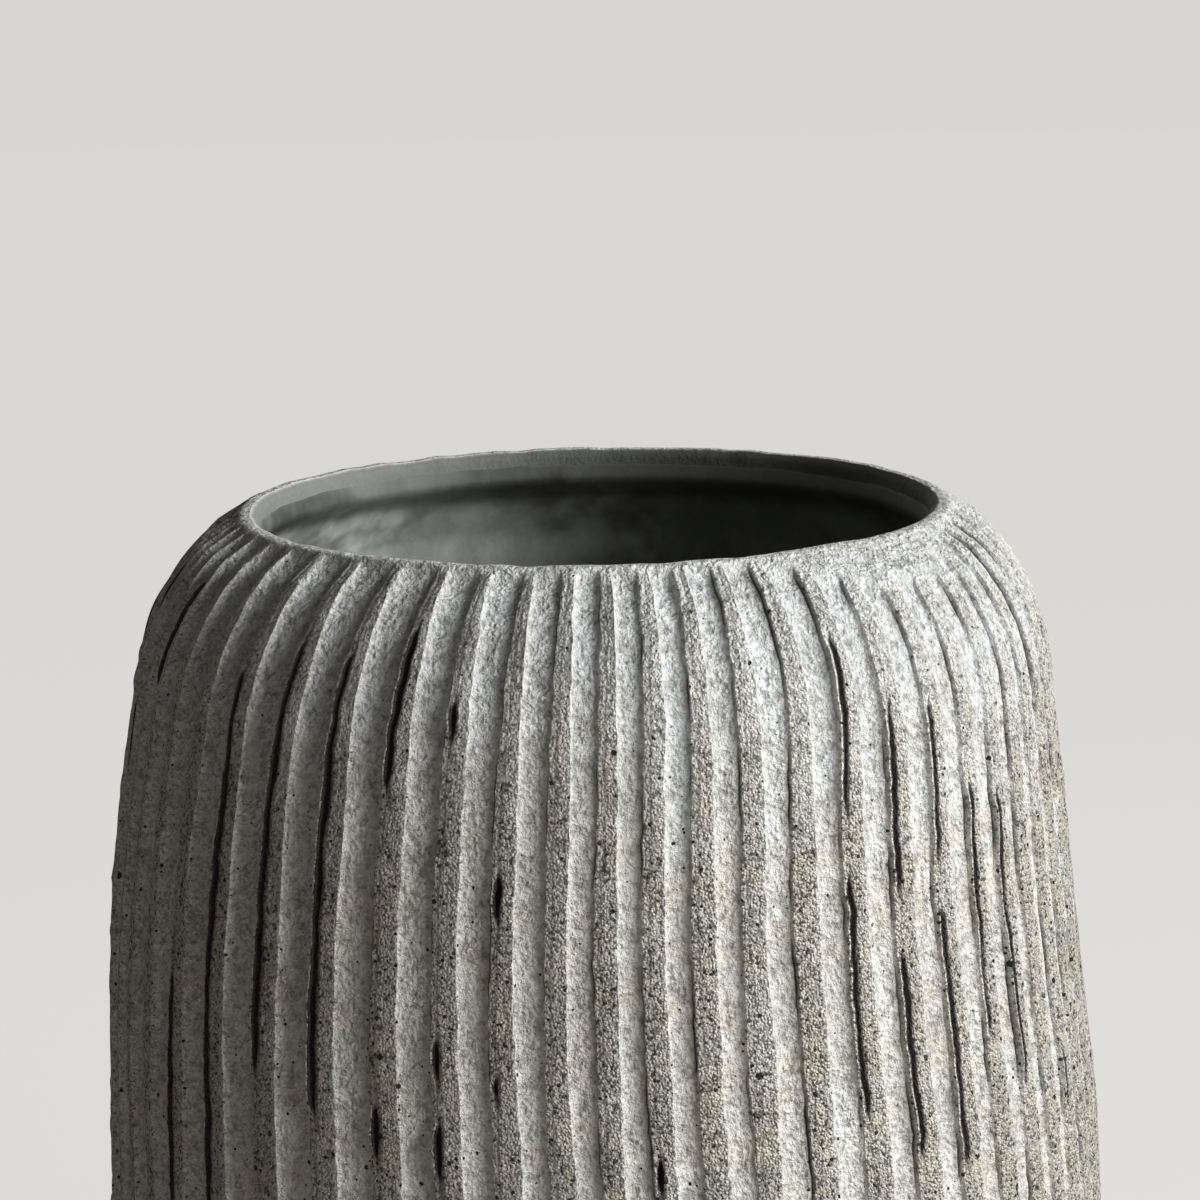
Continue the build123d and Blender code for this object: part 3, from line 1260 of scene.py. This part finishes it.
@dataclass
class FloorSlab:
    """The base slab, with its sloping edge and turned recess."""

    outline: Outline
    foot_radius: float = 93.56
    bottom: float = 2.0
    slope_share: float = 0.86
    slope_lines: int = 8
    # Eased lower edge: in from the foot's radius, and up from its face
    easing: tuple[Floats, ...] = ((0.5, 0.55), (1.5, 0.0))
    ring: float = 18.0
    ring_margins: Floats = (4.0, 0.8)
    ring_lines: int = 6
    # Edge of the recess: in from the ring, and up from its face
    recess_edge: tuple[Floats, ...] = ((0.0, 0.8), (0.3, 2.4), (1.0, 3.0))
    recess_margin: float = 3.0
    recess_lines: int = 20
    core: float = 0.5
    # Heights over which the lumps set in, and distance below the joint over which they end
    lumps_from: Floats = (3.0, 5.0)
    lumps_end: float = 1.0
    lump: float = 0.18
    bare: float = 0.7
    columns: int = 300
    lumps: Unevenness = Unevenness(61, 120, 3.0)

    def section(self) -> Array:
        """Half section from the joint with the wall round the foot to the middle of the recess.

        Returns:
            Radii and heights.
        """
        line = self.outline
        joint = np.array((line.joint_radius, line.slab_top))
        foot = np.array((self.foot_radius, self.bottom))
        slope = joint + (foot - joint) * np.linspace(0, self.slope_share, self.slope_lines)[:, None]
        turn = foot + np.array(self.easing) * (-1, 1)
        inner = np.array((self.foot_radius - self.ring, self.bottom))
        outer_margin, inner_margin = self.ring_margins
        across = np.linspace(foot[0] - outer_margin, inner[0] + inner_margin, self.ring_lines)
        flat = [(radius, self.bottom) for radius in across]
        rise = inner + np.array(self.recess_edge) * (-1, 1)
        inwards = np.linspace(inner[0] - self.recess_margin, self.core, self.recess_lines)
        under = [(radius, rise[-1][1]) for radius in inwards]
        return np.concatenate((slope, turn, flat, rise, under)).T

    def build(self, finish: Material) -> None:
        """Makes the slab.

        Args:
            finish: material of the bare clay.
        """
        radius, level = self.section()
        bearing = np.linspace(0.0, 360.0, self.columns + 1)[None, :]
        side = step(level, *self.lumps_from) * step(self.outline.slab_top - level, 0.0, self.lumps_end)
        side = (side * (radius > self.foot_radius - self.ring))[:, None]
        out = self.lump * self.lumps.over(bearing, level[:, None]) * side
        places = ring_places(bearing, radius[:, None] + out, level[:, None], 0.0)
        mesh = bent(places, {"land": np.full(places.shape[:2], self.bare)})
        bmesh.ops.remove_doubles(mesh, verts=mesh.verts[:], dist=WELD)
        fill_middle(mesh)
        outwards(mesh)
        keep(mesh, "foot_slab", finish, "floor_slab")


@dataclass
class FeltPads:
    """Round felt pads under the foot ring."""

    count: int = 4
    radius: float = 7.0
    thickness: float = 2.0
    reach: float = 84.56
    first: float = 45.0
    segments: int = 48
    rounding: float = 0.35

    def build(self, finish: Material) -> None:
        """Makes the pads as one piece.

        Args:
            finish: material of the felt.
        """
        mesh = bmesh.new()
        for index in range(self.count):
            turn = math.radians(self.first + 360 / self.count * index)
            spot = Vector((self.reach * math.cos(turn), self.reach * math.sin(turn), self.thickness / 2)) * MM
            made = bmesh.ops.create_cone(
                mesh, cap_ends=True, segments=self.segments, radius1=self.radius * MM,
                radius2=self.radius * MM, depth=self.thickness * MM, matrix=Matrix.Translation(spot),
            )
            edges = dict.fromkeys(edge for vert in made["verts"] for edge in vert.link_edges)
            rims = [edge for edge in edges if max(len(face.verts) for face in edge.link_faces) > 4]
            bmesh.ops.bevel(
                mesh, geom=rims, offset=self.rounding * MM, offset_type="OFFSET", affect="EDGES",
                segments=3, profile=0.5, material=-1,
            )
        keep(mesh, "felt_feet", finish, "felt_pads")


@dataclass
class Studio:
    """Camera, soft light and a plain pale floor."""

    camera_place: Floats = (0.0019, -0.6428, 0.4207)
    pitch: float = 11.8
    roll: float = -1.1
    lens: float = 84.68
    sensor: float = 36.0
    key_place: Floats = (1.2, -0.75, 0.80)
    key_aim: Floats = (0.0, -0.75, 0.30)
    key_size: Floats = (1.5, 0.8)
    key_power: float = 39.5
    low_place: Floats = (-0.25, -1.4, 0.13)
    low_aim: Floats = (0.0, 0.0, 0.13)
    low_size: Floats = (1.2, 0.26)
    low_power: float = 1.1
    fill: Floats = (0.026, 0.023, 0.020, 1.0)
    behind: Floats = (0.95, 0.92, 0.88, 1.0)
    pale: Floats = (0.80, 0.79, 0.77, 1.0)
    bounce: Floats = (0.30, 0.265, 0.225, 1.0)
    glow: float = 0.85
    floor_radius: float = 9.0
    floor_segments: int = 96

    def camera(self) -> None:
        """Sets the camera at the photograph's angle."""
        data = bpy.data.cameras.new("view")
        data.lens, data.sensor_width, data.sensor_fit = self.lens, self.sensor, "HORIZONTAL"
        made = linked("view", data)
        nod = Matrix.Rotation(math.radians(90 - self.pitch), 4, "X")
        roll = Matrix.Rotation(math.radians(self.roll), 4, "Z")
        made.matrix_world = Matrix.Translation(self.camera_place) @ nod @ roll
        bpy.context.scene.camera = made

    def lamp(self, name: str, place: Floats, aim: Floats, size: Floats, power: float) -> None:
        """Hangs one soft panel of light.

        Args:
            name: name of the lamp.
            place: its middle, in metres.
            aim: the spot that it faces.
            size: width and height.
            power: watts.
        """
        data = bpy.data.lights.new(name, "AREA")
        data.shape, data.energy = "RECTANGLE", power
        data.size, data.size_y = size
        back = Vector(place) - Vector(aim)
        turn = back.to_track_quat("Z", "Y").to_matrix().to_4x4()
        linked(name, data).matrix_world = Matrix.Translation(place) @ turn

    def light(self) -> None:
        """A wide soft panel along the right side, as a window would be, and a weak low one in front."""
        self.lamp("soft_key", self.key_place, self.key_aim, self.key_size, self.key_power)
        self.lamp("low_fill", self.low_place, self.low_aim, self.low_size, self.low_power)

    def room(self) -> None:
        """A pale floor, and a world that looks as pale to the camera, lights weakly and more from behind."""
        world = bpy.data.worlds.new("room")
        bpy.context.scene.world = world
        sheet = Sheet(world)
        seen = 0.0
        for kind in ("Camera", "Glossy", "Transmission"):
            seen = seen + sheet.node("LightPath", {}, {}, f"Is {kind} Ray")
        seen = seen.clamped()
        way = sheet.node("TexCoord", {}, {}, "Generated")
        back = sheet.axis(way, "Y").ease(0.45, 0.95)
        low = 1.0 - sheet.axis(way, "Z").ease(0.15, 0.40)
        ambient = sheet.blend(back * low, self.fill, self.behind)
        colour = sheet.blend(seen, ambient, tuple(self.glow * part for part in self.pale[:3]) + (1.0,))
        sheet.close(sheet.node("Background", {}, {"Color": colour}))

        mesh = bmesh.new()
        bmesh.ops.create_circle(mesh, cap_ends=True, segments=self.floor_segments, radius=self.floor_radius)
        floor = poured(mesh, "floor", self.floor_finish())

    def floor_finish(self) -> Material:
        """Pale paint that looks even to the camera, keeps the shadow and throws some light back.

        Returns:
            The floor's material.
        """
        sheet = Sheet(bpy.data.materials.new("pale_floor"))
        path = sheet.node("LightPath", {}, {}, "Is Camera Ray")
        paint = sheet.node("BsdfDiffuse", {}, {"Color": self.pale})
        glow = sheet.node("Emission", {}, {"Color": self.pale})
        dim = sheet.node("BsdfDiffuse", {}, {"Color": self.bounce})
        seen = sheet.node("MixShader", {}, {0: self.glow, 1: paint, 2: glow})
        return sheet.close(sheet.node("MixShader", {}, {0: path, 1: dim, 2: seen}))

    def build(self) -> None:
        """Sets up the whole studio."""
        bpy.context.scene.view_settings.view_transform = "Standard"
        self.camera()
        self.light()
        self.room()


def main() -> None:
    """Builds the vase piece by piece and sets it in the studio."""
    logging.basicConfig(level=logging.INFO, format="%(name)s %(message)s")
    outline, hand, flutes = Outline(), Hand(), Flutes()
    FlutedWall(outline, hand, flutes).build(StonewareFinish("gouged_stoneware").make())
    LipCoil(outline, hand, flutes).build(StonewareFinish("rolled_lip").make())
    FloorSlab(outline).build(StonewareFinish("bare_foot", wash_from=0.4, wash_to=0.5).make())
    GlazeLining(outline, hand).build(GlazeFinish("matt_liner").make())
    FeltPads().build(FeltFinish("grey_felt").make())
    Studio().build()


if __name__ == "__main__":
    main()
